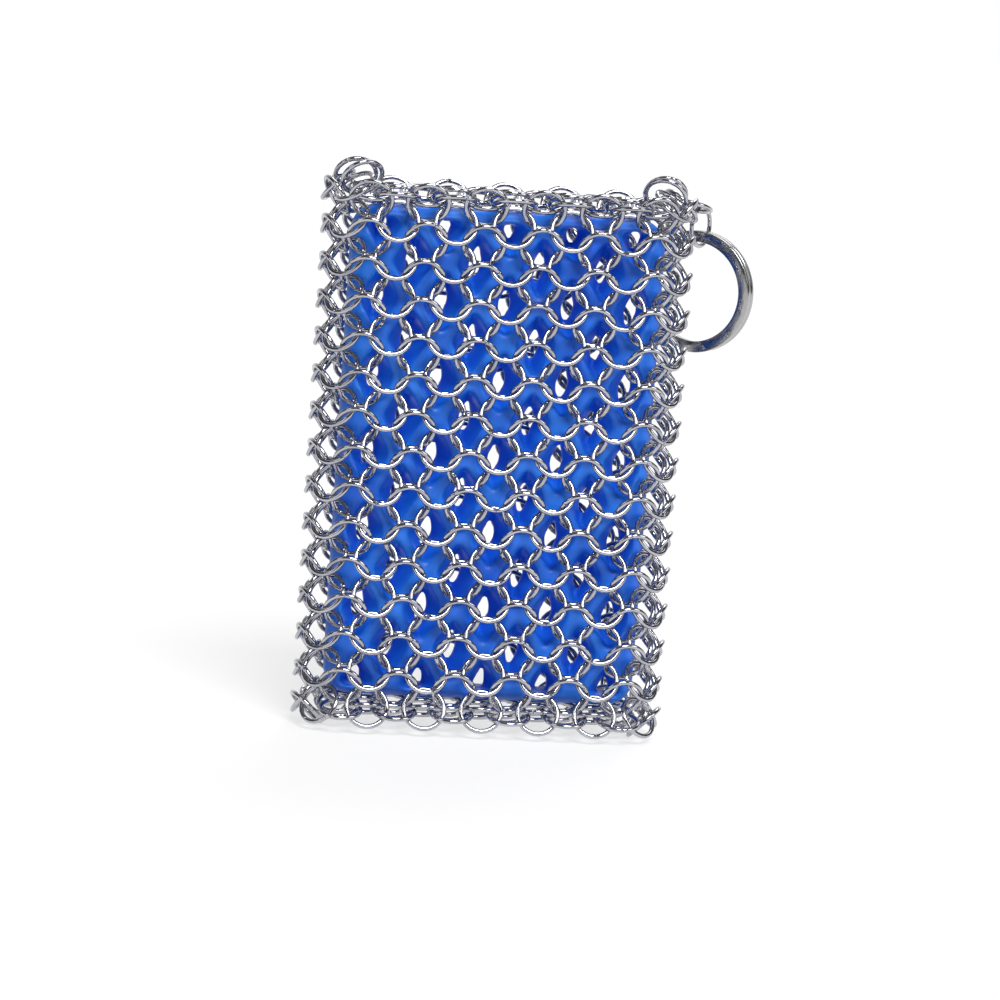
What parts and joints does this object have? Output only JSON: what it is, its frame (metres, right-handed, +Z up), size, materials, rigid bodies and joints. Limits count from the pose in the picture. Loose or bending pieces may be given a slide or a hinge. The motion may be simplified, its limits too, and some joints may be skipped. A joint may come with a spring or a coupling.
{
  "type": "pot scrubber",
  "caption": "Flat pouch of woven steel rings closed round a pierced silicone core, with a split ring for hanging at one upper corner.",
  "frame": {"origin": "on the ground under the middle of the pouch, at the level of its lowest wires", "axes": "+X to the right along the pouch's width, +Y away from the viewer through its thickness, +Z up along its length"},
  "size_m": [0.0896, 0.0311, 0.115],
  "materials": {
    "link_steel": "drawn stainless wire, bright",
    "ring_steel": "bright plated flat spring wire",
    "core_silicone": "satin blue moulded silicone, slightly translucent"
  },
  "bodies": {
    "pouch": {"bottom_closing_row_1": "link_steel", "bottom_closing_row_2": "link_steel", "bottom_closing_row_3": "link_steel", "bottom_closing_row_4": "link_steel", "bottom_closing_row_5": "link_steel", "bottom_closing_row_6": "link_steel", "bottom_corner_links_left": "link_steel", "bottom_corner_links_right": "link_steel", "mail_row_01": "link_steel", "mail_row_02": "link_steel", "mail_row_03": "link_steel", "mail_row_04": "link_steel", "mail_row_05": "link_steel", "mail_row_06": "link_steel", "mail_row_07": "link_steel", "mail_row_08": "link_steel", "mail_row_09": "link_steel", "mail_row_10": "link_steel", "mail_row_11": "link_steel", "mail_row_12": "link_steel", "mail_row_13": "link_steel", "mail_row_14": "link_steel", "mail_row_15": "link_steel", "mail_row_16": "link_steel", "mail_row_17": "link_steel", "mail_row_18": "link_steel", "mail_row_19": "link_steel", "mail_row_20": "link_steel", "mail_row_21": "link_steel", "mail_row_22": "link_steel", "mail_row_23": "link_steel", "mail_row_24": "link_steel", "mail_row_25": "link_steel", "mail_row_26": "link_steel", "mail_row_27": "link_steel", "mail_row_28": "link_steel", "silicone_core": "core_silicone", "top_closing_row_1": "link_steel", "top_closing_row_2": "link_steel", "top_closing_row_3": "link_steel", "top_closing_row_4": "link_steel", "top_closing_row_5": "link_steel", "top_closing_row_6": "link_steel", "top_corner_links_left": "link_steel", "top_corner_links_right": "link_steel"},
    "hanger": {"hang_link": "link_steel"},
    "key_ring": {"split_ring": "ring_steel"}
  },
  "joints": [
    {"name": "hanger_swing", "type": "hinge", "parent": "pouch", "child": "hanger", "pos_m": [0.04053, 0.0103, 0.10769], "axis": [0.7119, -0.7022, 0.0063], "range_deg": [0, 65]},
    {"name": "ring_swing", "type": "hinge", "parent": "hanger", "child": "key_ring", "pos_m": [0.04055, 0.01033, 0.1006], "axis": [0.5878, 0.809, 0], "range_deg": [-50, 50]}
  ]
}
